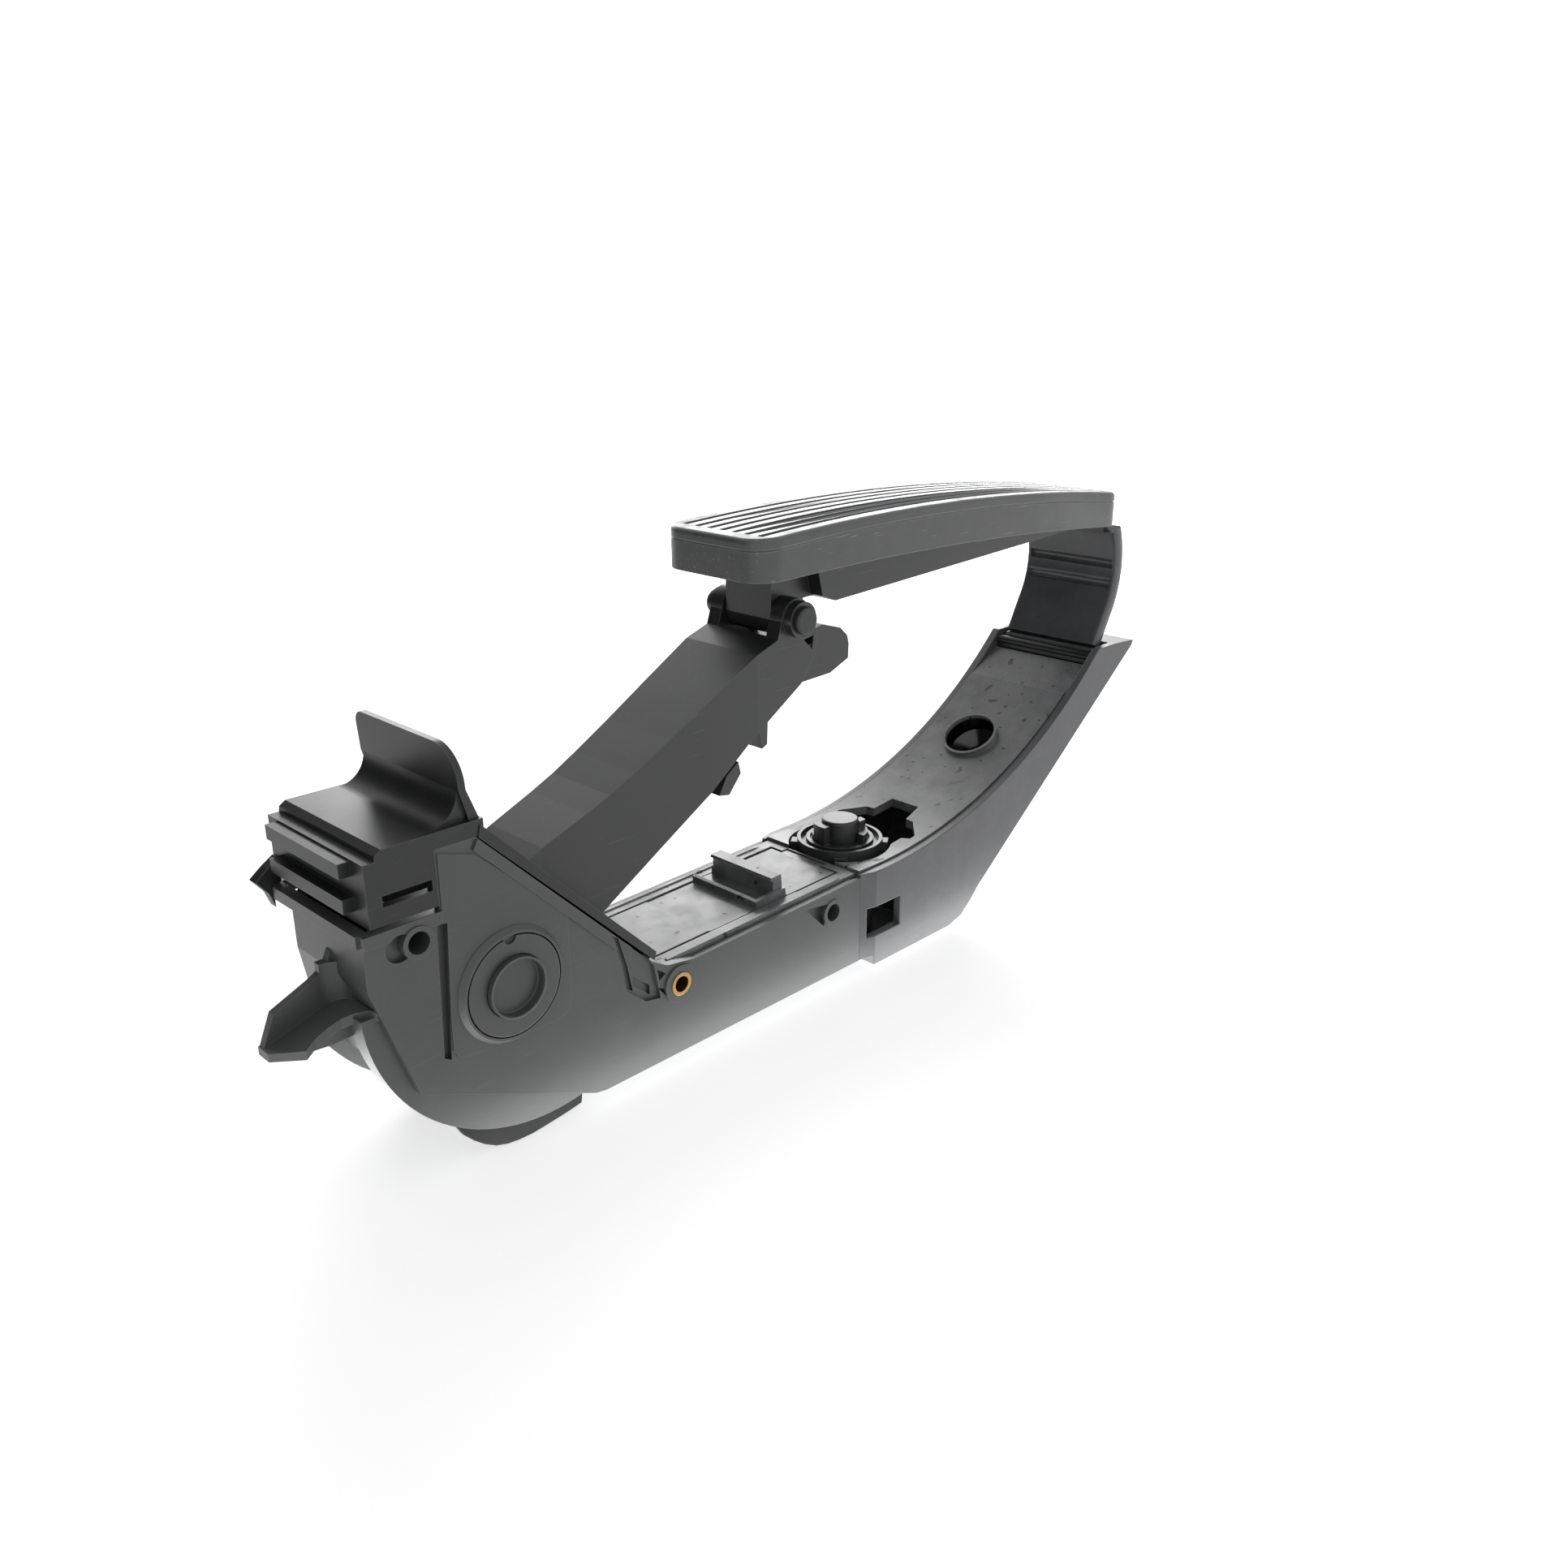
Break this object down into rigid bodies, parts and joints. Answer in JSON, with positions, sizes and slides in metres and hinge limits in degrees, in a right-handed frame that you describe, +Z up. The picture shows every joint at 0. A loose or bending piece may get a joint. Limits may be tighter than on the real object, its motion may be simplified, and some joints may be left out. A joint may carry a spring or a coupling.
{
  "type": "accelerator pedal sensor",
  "caption": "Floor-mounted organ-type accelerator pedal module: sensor housing with connector inlet, lever, ribbed rubber pedal on a flexible strap, kickdown element.",
  "frame": {"origin": "on the floor plane under the middle of the whole module's box", "axes": "+X from the sensor housing at the front to the heel, +Y to the side with the connector, +Z up from the floor"},
  "size_m": [0.3606, 0.0644, 0.155],
  "materials": {
    "housing_plastic": "satin moulded",
    "cover_plastic": "satin moulded",
    "lever_plastic": "satin moulded",
    "kickdown_plastic": "satin moulded",
    "pin_plastic": "smooth",
    "bearing_plastic": "natural, matt",
    "strap_plastic": "smooth, half gloss",
    "pad_rubber": "matt with a shiny rim",
    "brass": "turned",
    "tinned_brass": "tinned",
    "spring_steel": "drawn wire",
    "shaft_steel": "ground",
    "magnet_ferrite": "sintered",
    "circuit_board": "coated board",
    "chip_plastic": "moulded"
  },
  "bodies": {
    "base": {"base_frame": "housing_plastic", "heel_tray": "housing_plastic", "top_cover": "cover_plastic", "deck_cover": "cover_plastic", "deck_latch": "cover_plastic", "heel_cover": "cover_plastic", "strap_clamp": "cover_plastic", "strap_root": "strap_plastic", "cap_ring": "housing_plastic", "cap_disc": "cover_plastic", "bearing_near": "bearing_plastic", "bearing_far": "bearing_plastic", "bolt_bush": "brass", "return_spring_near": "spring_steel", "return_spring_far": "spring_steel", "friction_shoe": "bearing_plastic", "sensor_cover": "cover_plastic", "connector_pins": "tinned_brass", "sensor_board": "circuit_board", "hall_chip_a": "chip_plastic", "hall_chip_b": "chip_plastic", "end_latch": "cover_plastic", "pan_lip_near": "cover_plastic", "pan_lip_far": "cover_plastic", "kickdown_ring": "kickdown_plastic", "kickdown_sleeve": "kickdown_plastic"},
    "lever": {"lever_arm": "lever_plastic", "lever_shaft": "shaft_steel", "magnet": "magnet_ferrite", "lever_clip": "lever_plastic", "hinge_pin": "pin_plastic", "pin_washer": "pin_plastic"},
    "strap": {"flex_strap": "strap_plastic"},
    "pedal": {"pedal_plate": "lever_plastic", "rubber_pad": "pad_rubber"},
    "plunger": {"kickdown_plunger": "kickdown_plastic", "kickdown_spring": "spring_steel"}
  },
  "joints": [
    {"name": "lever_hinge", "type": "hinge", "parent": "base", "child": "lever", "pos_m": [-0.12045, -0.00525, 0.0507], "axis": [0, 1, 0], "range_deg": [0, 20], "stiffness_Nm_per_rad": 4, "springref_deg": -28.65},
    {"name": "strap_hinge", "type": "hinge", "parent": "base", "child": "strap", "pos_m": [0.15975, -0.00525, 0.0896], "axis": [0, 1, 0], "range_deg": [0, 19.3], "deforming": ["flex_strap"]},
    {"name": "pedal_hinge", "type": "hinge", "parent": "strap", "child": "pedal", "pos_m": [0.16875, -0.00525, 0.1326], "axis": [0, 1, 0], "range_deg": [-32.06, 0]},
    {"name": "kickdown_slide", "type": "slide", "parent": "base", "child": "plunger", "axis": [0, 0, 1], "range_m": [-0.004, 0], "stiffness_N_per_m": 4000, "springref_m": 0.002, "deforming": ["kickdown_spring"]}
  ],
  "couplings": [
    {"joint": "strap_hinge", "follows": "lever_hinge", "ratio": 0.9649},
    {"joint": "pedal_hinge", "follows": "lever_hinge", "ratio": -1.6025}
  ]
}
